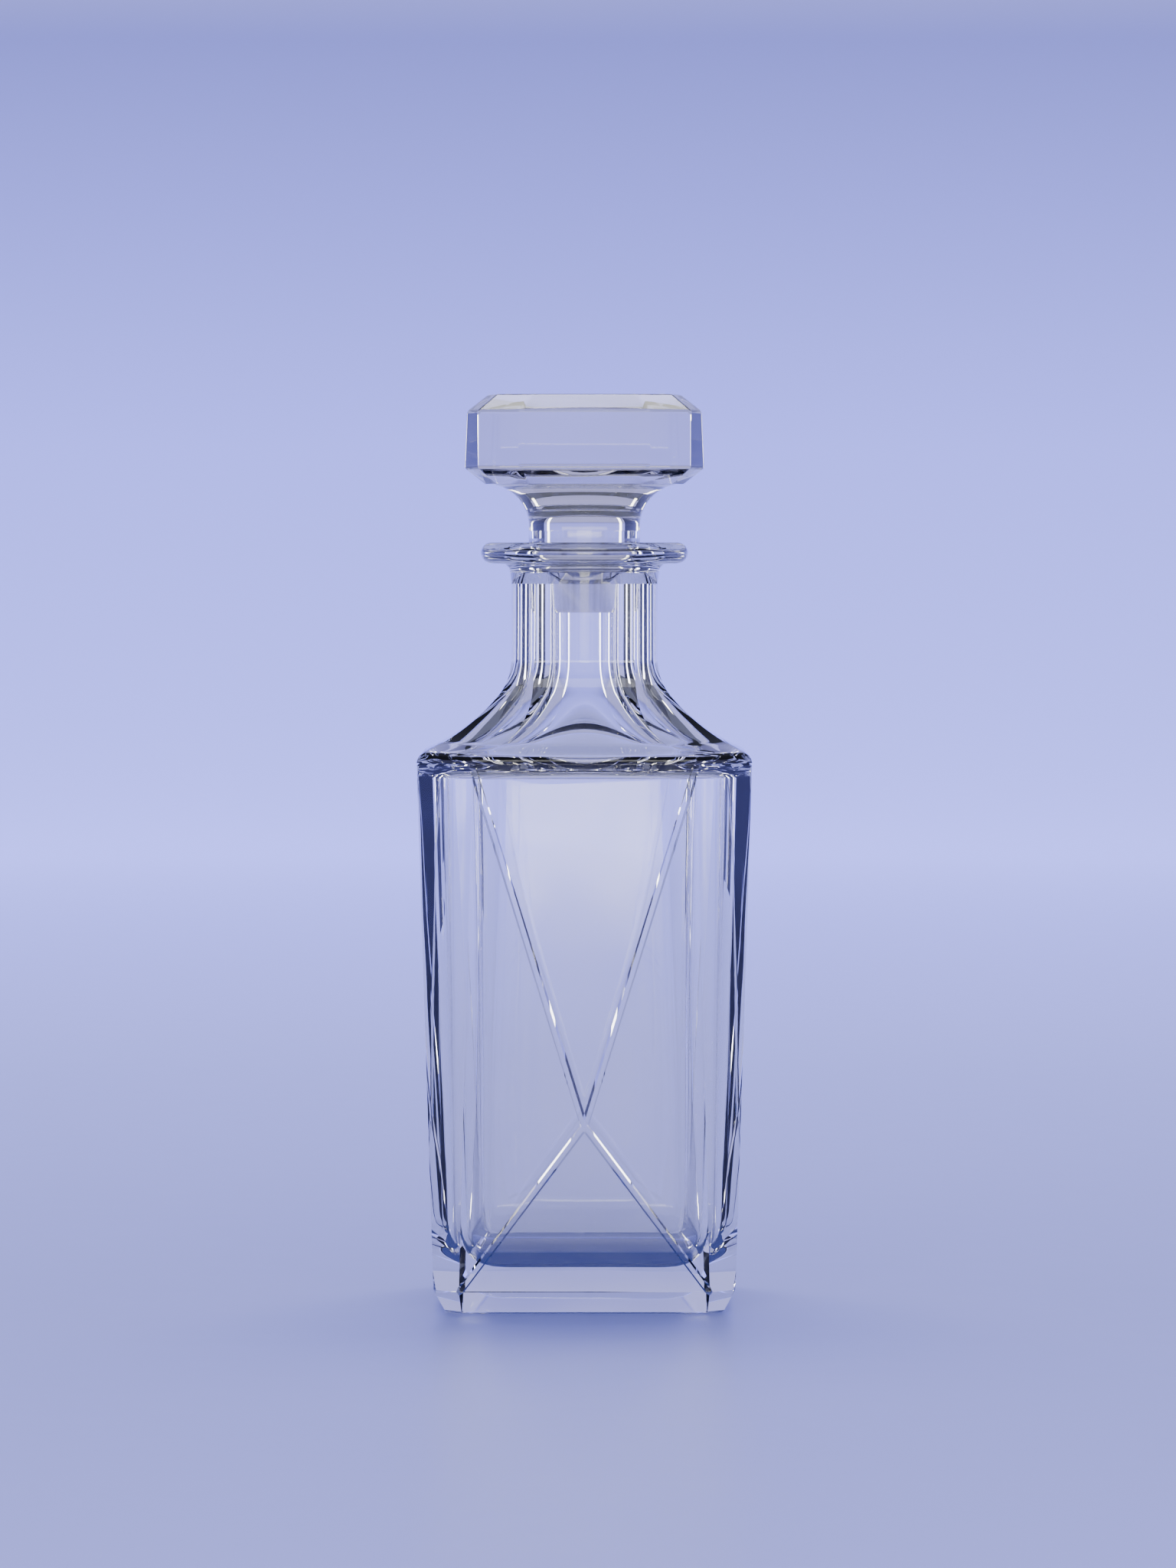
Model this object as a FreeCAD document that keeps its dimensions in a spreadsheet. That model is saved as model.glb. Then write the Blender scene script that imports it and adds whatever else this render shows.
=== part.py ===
"""Square glass decanter with a faceted glass stopper in a plastic sealing sleeve.

Millimetres, +Z up, origin at the centre of the underside.  The bottle's outside is the common
part of four extruded outlines: two across the flats and two across the chamfered corners.
"""
import FreeCAD, Part
import math
import os
import Sketcher

SIZES = {
    # foot and body, as half widths across the flats and across the chamfered corners
    "foot_half": 38.6, "foot_corner": 51.4, "plinth_height": 6.3,
    "base_half": 42.0, "base_corner": 54.3,
    "top_half": 46.6, "top_corner": 54.8, "body_top": 152.0,
    # rounded rim of the shoulder, then a flare of two tangent arcs into the neck
    "rim_radius": 3.2, "shoulder_half": 44.4, "shoulder_corner": 52.8, "shoulder_height": 155.6,
    "neck_half": 20.5, "neck_corner": 24.4, "neck_start": 181.2, "facet_top": 202.4,
    "flare_small": 16.0, "flare_small_corner": 18.5,
    # the neck's flats end in arches where a cone trims them
    "neck_stock": 40.0, "arch_slope": 1.4,
    # the four shallow triangles that meet in the cross on each side
    "cross_height": 52.4, "cross_depth": 1.1,
    # collar and pouring lip
    "collar_radius": 21.1, "collar_start": 205.5, "lip_radius": 29.2, "lip_bottom": 208.0,
    "lip_top": 214.0, "under_lip_fillet": 2.4,
    # inside of the bottle
    "floor_height": 12.0, "floor_round": 12.0, "cavity_base_half": 35.6, "cavity_base_corner": 46.8,
    "cavity_top_half": 41.6, "cavity_top_corner": 50.8, "cavity_top": 148.6,
    "ceiling_half": 38.4, "ceiling_corner": 47.2, "ceiling_height": 151.6, "ceiling_round": 4.0,
    "throat_reach": 80.0,
    "bore_radius": 14.75, "bore_start": 181.0, "inner_flare": 17.0, "mouth_chamfer": 0.6,
    # sealing sleeve
    "flange_radius": 15.7, "flange_height": 3.2, "sleeve_top_radius": 14.5,
    "sleeve_end_radius": 13.4, "sleeve_wall": 0.9, "sleeve_end": 195.2, "rib_radius": 14.7,
    "rib_height": 0.8, "rib_low": 202.8, "rib_high": 206.2,
    # stopper
    "running_gap": 0.05, "peg_end": 194.3, "waist_radius": 15.7, "waist_flare": 12.0, "waist_spread": 10.8,
    "waist_height": 219.4, "head_under": 230.3, "head_low": 234.7, "head_high": 250.6,
    "head_top": 255.3, "head_half": 33.5, "head_flat": 17.7, "head_diagonal": 29.6,
    "head_draft": 0.7, "under_scale": 0.83, "crown_scale": 0.82,
}

doc = FreeCAD.newDocument("decanter")
sheet = doc.addObject("Spreadsheet::Sheet", "Sizes")
for row, (alias, size) in enumerate(SIZES.items(), start=1):
    sheet.set(f"A{row}", alias)
    sheet.set(f"B{row}", str(size))
    sheet.setAlias(f"B{row}", alias)
doc.recompute()

WIDE = 160.0  # length of the extrusions, wider than the body
FLARE_TURN = math.radians(40)  # how far the small arc of a flare turns away from upright
UPRIGHT = FreeCAD.Rotation(FreeCAD.Vector(1, 0, 0), 90)
Z_AXIS = FreeCAD.Vector(0, 0, 1)


def cell(expression):
    """Value of an expression of the sheet's aliases, each written with a leading #."""
    return float(sheet.evalExpression(expression.replace("#", "Sizes.")))


def bind(target, path, expression):
    """Ties a property or constraint to an expression of the sheet's aliases."""
    target.setExpression(path, expression.replace("#", "Sizes."))


def upright_sketch(name, turn):
    """Empty sketch on the vertical plane through the axis, turned about the axis."""
    sketch = doc.addObject("Sketcher::SketchObject", name)
    sketch.Placement = FreeCAD.Placement(FreeCAD.Vector(), FreeCAD.Rotation(Z_AXIS, turn) * UPRIGHT)
    return sketch


def arc_between(start, end, radius):
    """Circular arc from start to end; a negative radius puts the bulge on the other side."""
    chord = end - start
    middle = (start + end) * 0.5
    rise = math.sqrt(max(radius * radius - chord.Length ** 2 / 4.0, 0.0))
    side = FreeCAD.Vector(-chord.y, chord.x, 0)
    side.normalize()
    centre = middle + side * math.copysign(rise, radius)
    from_centre = middle - centre
    if from_centre.Length < 1e-6:
        from_centre = side * -math.copysign(1.0, radius)
    from_centre.normalize()
    return Part.Arc(start, centre + from_centre * abs(radius), end)


def draw_chain(sketch, stations, mirrored):
    """Draws a closed outline through stations of (x, z, radius of the arc to the next or 0).

    Each x and z is an expression that the sketch is bound to.  With mirrored set, the stations are
    the right half, and the left half is held symmetric to it; otherwise the chain closes itself.
    """
    right = [FreeCAD.Vector(cell(x), cell(z), 0) for x, z, _ in stations]
    radii = [cell(radius) if isinstance(radius, str) else radius for _, _, radius in stations]
    points = list(right)
    bends = list(radii)
    if mirrored:
        points += [FreeCAD.Vector(-p.x, p.y, 0) for p in reversed(right)]
        bends = radii[:-1] + [0] + [b for b in reversed(radii[:-1])] + [0]
    count = len(points)
    for index, point in enumerate(points):
        end = points[(index + 1) % count]
        if bends[index]:
            sketch.addGeometry(arc_between(point, end, bends[index]), False)
        else:
            sketch.addGeometry(Part.LineSegment(point, end), False)
    starts = [end_code(sketch, index, points[index]) for index in range(count)]
    for index in range(count):
        following = (index + 1) % count
        closing = end_code(sketch, index, points[following])
        joined = (index, closing, following, starts[following])
        sketch.addConstraint(Sketcher.Constraint("Coincident", *joined))
    for index, (x, z, radius) in enumerate(stations):
        bound_point(sketch, index, starts[index], x, z)
        if isinstance(radius, str):
            number = sketch.addConstraint(Sketcher.Constraint("Radius", index, abs(cell(radius))))
            bind(sketch, f"Constraints[{number}]", f"abs({radius})")
    if not mirrored:
        return
    for index in range(len(stations)):
        twin = count - 1 - index
        sketch.addConstraint(Sketcher.Constraint("Symmetric", index, starts[index], twin, starts[twin], -2))
        if index < len(stations) - 1 and bends[index]:
            sketch.addConstraint(Sketcher.Constraint("Equal", index, twin - 1))


def end_code(sketch, index, point):
    """1 if the point is the start of the piece of outline, 2 if it is the end."""
    gap = sketch.getPoint(index, 1) - point
    return 1 if gap.Length < 1e-6 else 2


def bound_point(sketch, index, code, x, z):
    """Holds one point of a sketch at (x, z)."""
    if abs(cell(x)) < 1e-9:
        sketch.addConstraint(Sketcher.Constraint("PointOnObject", index, code, -2))
    else:
        number = sketch.addConstraint(Sketcher.Constraint("DistanceX", -1, 1, index, code, cell(x)))
        bind(sketch, f"Constraints[{number}]", x)
    if abs(cell(z)) < 1e-9:
        sketch.addConstraint(Sketcher.Constraint("PointOnObject", index, code, -1))
    else:
        number = sketch.addConstraint(Sketcher.Constraint("DistanceY", -1, 1, index, code, cell(z)))
        bind(sketch, f"Constraints[{number}]", z)


def extruded(name, stations, turn):
    """Symmetric extrusion of a mirrored outline."""
    sketch = upright_sketch(name + "Outline", turn)
    draw_chain(sketch, stations, True)
    solid = doc.addObject("Part::Extrusion", name)
    solid.Base = sketch
    solid.DirMode = "Normal"
    solid.LengthFwd = WIDE
    solid.Symmetric = True
    solid.Solid = True
    return solid


def revolved(name, stations):
    """Solid of revolution about the Z axis of an outline beside it."""
    sketch = upright_sketch(name + "Outline", 0)
    draw_chain(sketch, stations, False)
    solid = doc.addObject("Part::Revolution", name)
    solid.Source = sketch
    solid.Axis = Z_AXIS
    solid.Base = FreeCAD.Vector()
    solid.Angle = 360.0
    solid.Solid = True
    return solid


def common(name, *shapes):
    """Boolean intersection."""
    solid = doc.addObject("Part::MultiCommon", name)
    solid.Shapes = list(shapes)
    return solid


def fused(name, *shapes):
    """Boolean union, with the seams between coplanar faces taken out."""
    solid = doc.addObject("Part::MultiFuse", name)
    solid.Shapes = list(shapes)
    solid.Refine = True
    return solid


def cut(name, base, tool):
    """Boolean difference."""
    solid = doc.addObject("Part::Cut", name)
    solid.Base = base
    solid.Tool = tool
    return solid


def flare_stations(half, height, end_half, end_height, small_radius):
    """The two arcs of a concave flare that ends upright at (end_half, end_height).

    The small arc turns by FLARE_TURN, and the large one goes on to the start.
    """
    middle_x = f"{end_half} + {small_radius} * {1 - math.cos(FLARE_TURN):.6f}"
    middle_z = f"{end_height} - {small_radius} * {math.sin(FLARE_TURN):.6f}"
    run = cell(half) - cell(middle_x)
    drop = cell(middle_z) - cell(height)
    chord = math.hypot(run, drop)
    bend = math.radians(90) - FLARE_TURN - math.atan2(drop, run)
    large = chord / (2.0 * math.sin(bend))
    return [(half, height, -large), (middle_x, middle_z, "-1 * " + small_radius)]


def body_outline(width, small_radius):
    """Right half of the bottle's outside, foot to neck; width is half or corner."""
    flare = flare_stations(f"#shoulder_{width}", "#shoulder_height", f"#neck_{width}", "#neck_start",
                           small_radius)
    return [(f"#foot_{width}", "0", 0),
            (f"#base_{width}", "#plinth_height", 0),
            (f"#top_{width}", "#body_top", "#rim_radius"),
            *flare,
            (f"#neck_{width}", "#neck_start", 0),
            (f"#neck_{width}", "#collar_start", 0)]


def cavity_outline(width):
    """Right half of the hollow: rounded floor edge, upright wall, ceiling and flare to the bore."""
    flare = flare_stations(f"#ceiling_{width}", "#ceiling_height", "#bore_radius", "#bore_start",
                           "#inner_flare")
    return [(f"#cavity_base_{width} - #floor_round", "#floor_height", "#floor_round"),
            (f"#cavity_base_{width}", "#floor_height + #floor_round", 0),
            (f"#cavity_top_{width}", "#cavity_top", "#ceiling_round"),
            *flare,
            ("#bore_radius", "#bore_start", 0),
            ("#bore_radius", "#lip_top + 5", 0)]


def cross_cutter():
    """Flat pyramid that hollows one side into four triangles meeting at the cross."""
    lift = 3.0
    slope = (cell("#top_half") - cell("#base_half")) / (cell("#body_top") - cell("#plinth_height"))

    def on_side(along, height, depth):
        surface = cell("#base_half") + slope * (height - cell("#plinth_height"))
        return FreeCAD.Vector(along, depth - surface, height)

    def flat_half(corner, half):
        return cell(corner) * math.sqrt(2.0) - cell(half)

    low = flat_half("#base_corner", "#base_half")
    high = flat_half("#top_corner", "#top_half")
    rim = [on_side(-low, cell("#plinth_height"), 0), on_side(low, cell("#plinth_height"), 0),
           on_side(high, cell("#body_top"), 0), on_side(-high, cell("#body_top"), 0)]
    heart = on_side(0, cell("#cross_height"), cell("#cross_depth"))
    away = FreeCAD.Vector(0, -lift, 0)
    faces = [Part.Face(Part.makePolygon([p + away for p in rim] + [rim[0] + away]))]
    for index, point in enumerate(rim):
        following = rim[(index + 1) % 4]
        faces.append(Part.Face(Part.makePolygon([point, following, heart, point])))
        faces.append(Part.Face(Part.makePolygon([point, following, following + away, point + away, point])))
    return Part.makeSolid(Part.makeShell(faces))


def make_bottle():
    """The decanter's bottle: one piece of clear pressed glass."""
    outside = common("Outside",
                     extruded("FlatsAcross", body_outline("half", "#flare_small"), 0),
                     extruded("FlatsAlong", body_outline("half", "#flare_small"), 90),
                     extruded("CornersLeft", body_outline("corner", "#flare_small_corner"), 45),
                     extruded("CornersRight", body_outline("corner", "#flare_small_corner"), 135))
    neck_end = doc.addObject("Part::Cylinder", "NeckEnd")
    bind(neck_end, "Radius", "#neck_stock")
    bind(neck_end, "Height", "#collar_start - #facet_top + 1")
    bind(neck_end, "Placement.Base.z", "#facet_top")
    arch = doc.addObject("Part::Cone", "FacetArch")
    bind(arch, "Radius1", "#collar_radius + (#collar_start - #facet_top) * #arch_slope")
    bind(arch, "Radius2", "#collar_radius")
    bind(arch, "Height", "#collar_start - #facet_top")
    bind(arch, "Placement.Base.z", "#facet_top")
    shaped = cut("ShapedNeck", outside, cut("NeckTrim", neck_end, arch))
    for number in range(4):
        pyramid = doc.addObject("Part::Feature", f"CrossCutter{number}")
        pyramid.Shape = cross_cutter()
        pyramid.Placement = FreeCAD.Placement(FreeCAD.Vector(), FreeCAD.Rotation(Z_AXIS, 90 * number))
        shaped = cut(f"Side{number}", shaped, pyramid)
    lip = revolved("Lip", [
        ("0", "#collar_start - 1", 0),
        ("#collar_radius", "#collar_start - 1", 0),
        ("#collar_radius", "#lip_bottom - #under_lip_fillet", "-1 * #under_lip_fillet"),
        ("#collar_radius + #under_lip_fillet", "#lip_bottom", 0),
        ("#lip_radius - (#lip_top - #lip_bottom) / 2", "#lip_bottom", "(#lip_top - #lip_bottom) / 2"),
        ("#lip_radius", "(#lip_top + #lip_bottom) / 2", "(#lip_top - #lip_bottom) / 2"),
        ("#lip_radius - (#lip_top - #lip_bottom) / 2", "#lip_top", 0),
        ("0", "#lip_top", 0)])
    hollow = common("Hollow",
                    extruded("HollowAcross", cavity_outline("half"), 0),
                    extruded("HollowAlong", cavity_outline("half"), 90),
                    extruded("HollowCornersLeft", cavity_outline("corner"), 45),
                    extruded("HollowCornersRight", cavity_outline("corner"), 135))
    throat_flare = flare_stations("#ceiling_corner", "#ceiling_height", "#bore_radius", "#bore_start",
                                  "#inner_flare")
    throat = revolved("Throat", [
        ("0", "0", 0),
        ("#throat_reach", "0", 0),
        ("#throat_reach", "#ceiling_height", 0),
        *throat_flare,
        ("#bore_radius", "#bore_start", 0),
        ("#bore_radius", "#lip_top - #mouth_chamfer", 0),
        ("#bore_radius + #mouth_chamfer", "#lip_top", 0),
        ("#bore_radius + #mouth_chamfer", "#lip_top + 2", 0),
        ("0", "#lip_top + 2", 0)])
    mouth = doc.addObject("Part::Cone", "Mouth")
    bind(mouth, "Radius1", "#bore_radius")
    bind(mouth, "Radius2", "#bore_radius + #mouth_chamfer")
    bind(mouth, "Height", "#mouth_chamfer")
    bind(mouth, "Placement.Base.z", "#lip_top - #mouth_chamfer")
    inside = fused("Inside", common("HollowInThroat", hollow, throat), mouth)
    bottle = cut("Bottle", fused("Solid", shaped, lip), inside)
    bottle.Label = "bottle"
    return bottle


def make_seal():
    """Clear plastic sleeve on the stopper's peg, with a flange on the lip and two sealing ribs."""
    wall_top = "#sleeve_top_radius - #sleeve_wall"
    wall_end = "#sleeve_end_radius - #sleeve_wall"
    drop = "(#sleeve_top_radius - #sleeve_end_radius) / (#lip_top - #sleeve_end)"

    def skin(height):
        return f"#sleeve_top_radius - (#lip_top - ({height})) * {drop}"

    stations = [(wall_end, "#sleeve_end", 0), ("#sleeve_end_radius", "#sleeve_end", 0)]
    for rib in ("#rib_low", "#rib_high"):
        stations += [(skin(rib), rib, 0),
                     ("#rib_radius", f"{rib} + #rib_height / 2", 0),
                     (skin(f"{rib} + #rib_height"), f"{rib} + #rib_height", 0)]
    stations += [("#sleeve_top_radius", "#lip_top", 0),
                 ("#flange_radius", "#lip_top", 0),
                 ("#flange_radius", "#lip_top + #flange_height", 0),
                 (wall_top, "#lip_top + #flange_height", 0),
                 (wall_top, "#lip_top", 0)]
    seal = revolved("Seal", stations)
    seal.Label = "seal"
    return seal


def head_section(name, height, scale, grow=""):
    """Twelve-sided section of the stopper's head, as a sketch at a height."""
    sketch = doc.addObject("Sketcher::SketchObject", name)
    bind(sketch, "Placement.Base.z", height)
    flat = f"#head_flat * {scale}"
    half = f"(#head_half {grow}) * {scale}"
    diagonal = f"#head_diagonal * {scale}"
    quarter = [(flat, half), (diagonal, diagonal), (half, flat)]
    signs = [(1, 1), (1, -1), (-1, -1), (-1, 1)]
    points = []
    for index, (side_x, side_y) in enumerate(signs):
        ordered = quarter if index % 2 == 0 else list(reversed(quarter))
        points += [(x, y, side_x, side_y) for x, y in ordered]
    values = [FreeCAD.Vector(cell(x) * sx, cell(y) * sy, 0) for x, y, sx, sy in points]
    for index, point in enumerate(values):
        sketch.addGeometry(Part.LineSegment(point, values[(index + 1) % 12]), False)
    for index in range(12):
        sketch.addConstraint(Sketcher.Constraint("Coincident", index, 2, (index + 1) % 12, 1))
    for index, (x, y, sx, sy) in enumerate(points):
        for kind, size, sign in (("DistanceX", x, sx), ("DistanceY", y, sy)):
            ends = (-1, 1, index, 1) if sign > 0 else (index, 1, -1, 1)
            number = sketch.addConstraint(Sketcher.Constraint(kind, *ends, cell(size)))
            bind(sketch, f"Constraints[{number}]", size)
    return sketch


def make_stopper():
    """Solid glass stopper: faceted head, round waist and a tapered peg."""
    sections = [head_section("HeadUnder", "#head_under", "#under_scale"),
                head_section("HeadLow", "#head_low", "1"),
                head_section("HeadHigh", "#head_high", "1", "- #head_draft"),
                head_section("HeadTop", "#head_top", "#crown_scale", "- #head_draft")]
    layers = []
    for number, (lower, upper) in enumerate(zip(sections, sections[1:])):
        layer = doc.addObject("Part::Loft", f"HeadLayer{number}")
        layer.Sections = [lower, upper]
        layer.Solid = True
        layer.Ruled = True
        layers.append(layer)
    drop = "(#sleeve_top_radius - #sleeve_end_radius) / (#lip_top - #sleeve_end)"
    inner = "#sleeve_top_radius - #sleeve_wall - #running_gap"
    stem = revolved("Stem", [
        ("0", "#peg_end", 0),
        (f"{inner} - (#lip_top - #peg_end) * {drop}", "#peg_end", 0),
        (inner, "#lip_top", 0),
        (inner, "#lip_top + #flange_height", 0),
        ("#waist_radius", "#lip_top + #flange_height", 0),
        ("#waist_radius", "#waist_height", "-1 * #waist_flare"),
        ("#waist_radius + #waist_spread", "#head_under", 0),
        ("0", "#head_under", 0)])
    stopper = fused("Stopper", *layers, stem)
    stopper.Label = "stopper"
    return stopper


def write_parts(parts):
    """Checks every object and every shape, then writes one STEP file per sub-part."""
    doc.recompute()
    failed = [item.Name for item in doc.Objects if {"Invalid", "Error"} & set(item.State)]
    if failed:
        raise RuntimeError(f"objects that did not compute: {failed}")
    for part in parts:
        if part.Shape.isNull() or not part.Shape.isValid():
            raise RuntimeError(f"{part.Label} has no valid shape")
        if len(part.Shape.Solids) != 1:
            raise RuntimeError(f"{part.Label} is {len(part.Shape.Solids)} solids")
    os.makedirs("parts", exist_ok=True)
    for part in parts:
        part.Shape.exportStep(f"parts/{part.Label}.step")
        box = part.Shape.BoundBox
        print(f"{part.Label}: {part.Shape.Volume / 1000:.1f} ml, z {box.ZMin:.2f} to {box.ZMax:.2f}")


write_parts([make_bottle(), make_seal(), make_stopper()])
hollow = doc.getObject("HollowInThroat").Shape
print(f"hollow holds {hollow.Volume / 1000:.0f} ml to its top")
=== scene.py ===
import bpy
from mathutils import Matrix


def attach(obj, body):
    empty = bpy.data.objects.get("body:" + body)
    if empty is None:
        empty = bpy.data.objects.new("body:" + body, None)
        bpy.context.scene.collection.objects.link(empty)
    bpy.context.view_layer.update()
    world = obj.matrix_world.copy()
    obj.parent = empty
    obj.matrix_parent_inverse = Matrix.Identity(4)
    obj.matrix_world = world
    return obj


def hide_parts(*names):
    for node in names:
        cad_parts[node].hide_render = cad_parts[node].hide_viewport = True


bl_info = {
    "name": "Stoppered glass decanter",
    "version": (1, 0, 0),
    "blender": (4, 5, 0),
    "location": "3D View > Sidebar > Decanter",
    "description": "Builds a square pressed-glass decanter with its faceted stopper and sealing sleeve",
    "category": "Add Mesh",
}

import math

import bmesh
import bpy
from mathutils import Matrix, Vector

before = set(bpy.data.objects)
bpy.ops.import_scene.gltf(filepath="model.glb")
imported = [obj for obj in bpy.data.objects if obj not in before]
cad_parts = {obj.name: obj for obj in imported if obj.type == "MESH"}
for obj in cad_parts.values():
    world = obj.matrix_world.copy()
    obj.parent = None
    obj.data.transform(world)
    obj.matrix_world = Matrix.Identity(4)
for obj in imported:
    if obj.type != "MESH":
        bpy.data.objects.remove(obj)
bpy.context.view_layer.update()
MM = 0.001

# Shapes, with the gaps in millimetres.
FLARE_TURN = math.radians(40.0)  # how far the tight arc of a flare turns
CEILING_START = math.radians(30.0)  # where the arc between the ceiling and the walls begins
OCTAGON_HALF = 20.0  # degrees from the middle of a side to its corner in the first ring
MERGE_GAP = 0.0005
LEVEL_GAP = 0.001
BACK_FACING = 0.7  # share of a normal along +Y from which a crease is at the back
GROOVE_SHARE = 0.75  # inner part of a crease's half width that is pressed in

# Looks. PALE_SHARE is how much of its tint the glass keeps where the mould's wave is high.
PALE_SHARE = 0.6
SMEAR_SCALE = 38.0
SMEAR_START = 0.56
FLOOR_TRAVEL = 0.6
WALL_TRAVEL = 1.2
GLOW_STOPS = (0.0, 0.12, 0.42, 0.66, 0.88, 0.97)
CARD_STOPS = ((0.05, 0.02), (0.2, 0.3), (0.34, 1.0), (0.48, 0.9), (0.62, 0.12), (1.0, 0.02))

# Stage. Each lamp has a name, a place and a size in metres, a power in watts, and whether it
# lights the floor or only shows through the glass.
LAMPS = (
    ("left_softbox", (-1.38, 0.66, 0.56), (0.16, 1.08), 11.0, False),
    ("right_softbox", (1.38, 0.66, 0.56), (0.16, 1.08), 11.0, False),
    ("left_strip", (-0.8, 1.4, 0.55), (0.08, 1.06), 2.6, False),
    ("right_strip", (0.8, 1.4, 0.55), (0.08, 1.06), 2.6, False),
    ("top_softbox", (0.0, 0.8, 1.9), (1.5, 0.9), 36.0, True),
    ("front_softbox", (0.0, -1.3, 1.5), (1.4, 0.6), 9.0, True),
)
LAMP_TARGET = Vector((0.0, 0.0, 0.12))
SKY = (0.14, 0.15, 0.24)
CURVE_SHARE = 0.6
FLAG_FOOT = 0.002
CARD_FOOT = 0.01
SENSOR_HEIGHT = 36.0
VIEW_END = 20.0


# ---------------------------------------------------------------- materials


class Signal:
    """A shader socket that can be used in Python sums, products and powers."""

    def __init__(self, board, socket):
        self.board = board
        self.socket = socket

    def math(self, operation, first, second):
        node = self.board.tree.nodes.new("ShaderNodeMath")
        node.operation = operation
        self.board.feed(node.inputs[0], first)
        self.board.feed(node.inputs[1], second)
        return Signal(self.board, node.outputs[0])

    def __add__(self, other):
        return self.math("ADD", self, other)

    __radd__ = __add__

    def __sub__(self, other):
        return self.math("SUBTRACT", self, other)

    def __rsub__(self, other):
        return self.math("SUBTRACT", other, self)

    def __mul__(self, other):
        return self.math("MULTIPLY", self, other)

    __rmul__ = __mul__

    def __truediv__(self, other):
        return self.math("DIVIDE", self, other)

    def __pow__(self, other):
        return self.math("POWER", self, other)

    def clamped(self, low=0.0, high=1.0):
        return self.math("MINIMUM", self.math("MAXIMUM", self, low), high)


class Board:
    """The node tree of one material or of the world."""

    def __init__(self, tree):
        self.tree = tree
        tree.nodes.clear()

    def feed(self, socket, value):
        """Links a signal to a socket, or sets the socket's own value."""
        if isinstance(value, Signal):
            self.tree.links.new(value.socket, socket)
        elif isinstance(value, tuple) and len(value) == 3 and len(socket.default_value) == 4:
            socket.default_value = (*value, 1.0)
        else:
            socket.default_value = value

    def node(self, kind, output=0, settings=None, **values):
        """Adds a node with its settings first, then feeds its sockets, and returns one output."""
        made = self.tree.nodes.new(kind)
        for name, value in (settings or {}).items():
            if name == "stops":
                while len(made.color_ramp.elements) < len(value):
                    made.color_ramp.elements.new(1.0)
                for element, (position, colour) in zip(made.color_ramp.elements, value):
                    element.position = position
                    element.color = (*colour, 1.0)
            else:
                setattr(made, name, value)
        for name, value in values.items():
            key = int(name[1:]) if name[1:].isdigit() else name.replace("_", " ")
            self.feed(made.inputs[key], value)
        return Signal(self, made.outputs[output]) if len(made.outputs) else None

    def place(self):
        """Object coordinates of the piece, in metres."""
        return self.node("ShaderNodeTexCoord", output="Object")

    def axes(self, vector):
        """The x, y and z of a vector."""
        first = self.node("ShaderNodeSeparateXYZ", s0=vector)
        return [Signal(self, socket) for socket in first.socket.node.outputs]

    def blend(self, factor, first, second):
        """Mixes two colours."""
        return self.node("ShaderNodeMix", output=2, settings={"data_type": "RGBA"},
                         s0=factor, s6=first, s7=second)


def shade(name):
    """A new material and the board of its nodes."""
    material = bpy.data.materials.new(name)
    material.use_nodes = True
    return material, Board(material.node_tree)


def clear_body(name, tint, ior, wave_size, wave_depth, film):
    """Clear glass or plastic: a slow waviness from the mould and a thin uneven film of wiping marks."""
    material, board = shade(name)
    place = board.place()
    wave = board.node("ShaderNodeTexNoise", output="Fac", Vector=place, Scale=1.0 / wave_size,
                      Detail=1.0, Roughness=0.4)
    smear = board.node("ShaderNodeTexNoise", output="Fac", Vector=place, Scale=SMEAR_SCALE, Detail=4.0,
                       Roughness=0.6)
    worn = (smear - SMEAR_START).clamped() * film
    pale = tuple(1.0 - (1.0 - channel) * PALE_SHARE for channel in tint)
    colour = board.blend(wave, tint, pale)
    relief = board.node("ShaderNodeBump", Height=wave, Strength=1.0, Distance=wave_depth)
    surface = board.node("ShaderNodeBsdfPrincipled", Base_Color=colour, Roughness=worn, IOR=ior,
                         Transmission_Weight=1.0, Normal=relief)
    board.node("ShaderNodeOutputMaterial", Surface=surface)
    return material


def backdrop_paint_and_glow(settings):
    """Satin paint of the floor and the wall, with painted light: it glows from within, faintly at the
    decanter's foot, so that it is palest behind the decanter.
    """
    material, board = shade("backdrop_paint_and_glow")
    across, along, height = board.axes(board.place())
    reach = (across * across + along * along) ** 0.5
    travel = reach / settings.sweep_radius * FLOOR_TRAVEL + height / settings.sweep_height * WALL_TRAVEL
    colours = (settings.floor_glow, settings.middle_glow, settings.far_glow, settings.wall_glow,
               settings.top_glow, settings.rim_glow)
    stops = [(place, tuple(colour)) for place, colour in zip(GLOW_STOPS, colours)]
    # Painted light: the emitted glow ramps from faint at the decanter's foot to brightest where the floor
    # curves up, then dims up the wall.
    glow = board.node("ShaderNodeValToRGB", Fac=travel.clamped(), settings={"stops": stops})
    grain = board.node("ShaderNodeTexNoise", output="Fac", Vector=board.place(), Scale=60.0, Detail=2.0)
    surface = board.node("ShaderNodeBsdfPrincipled", Base_Color=tuple(settings.paint),
                         Roughness=0.34 + grain * 0.04, Specular_IOR_Level=0.4, Emission_Color=glow,
                         Emission_Strength=settings.glow_strength)
    board.node("ShaderNodeOutputMaterial", Surface=surface)
    return material


# ---------------------------------------------------------------- outlines of a ring


def chamfered_square(half, corner):
    """Moves a corner of an eight-sided ring to a square of this half width with cut corners."""
    flat = corner * math.sqrt(2.0) - half

    def moved(x, y):
        wide, narrow = (half, flat) if abs(x) > abs(y) else (flat, half)
        return math.copysign(wide, x), math.copysign(narrow, y)

    return moved


def circle(radius):
    """Moves a point of a ring straight out or in to a circle."""

    def moved(x, y):
        reach = math.hypot(x, y)
        return x * radius / reach, y * radius / reach

    return moved


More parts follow.
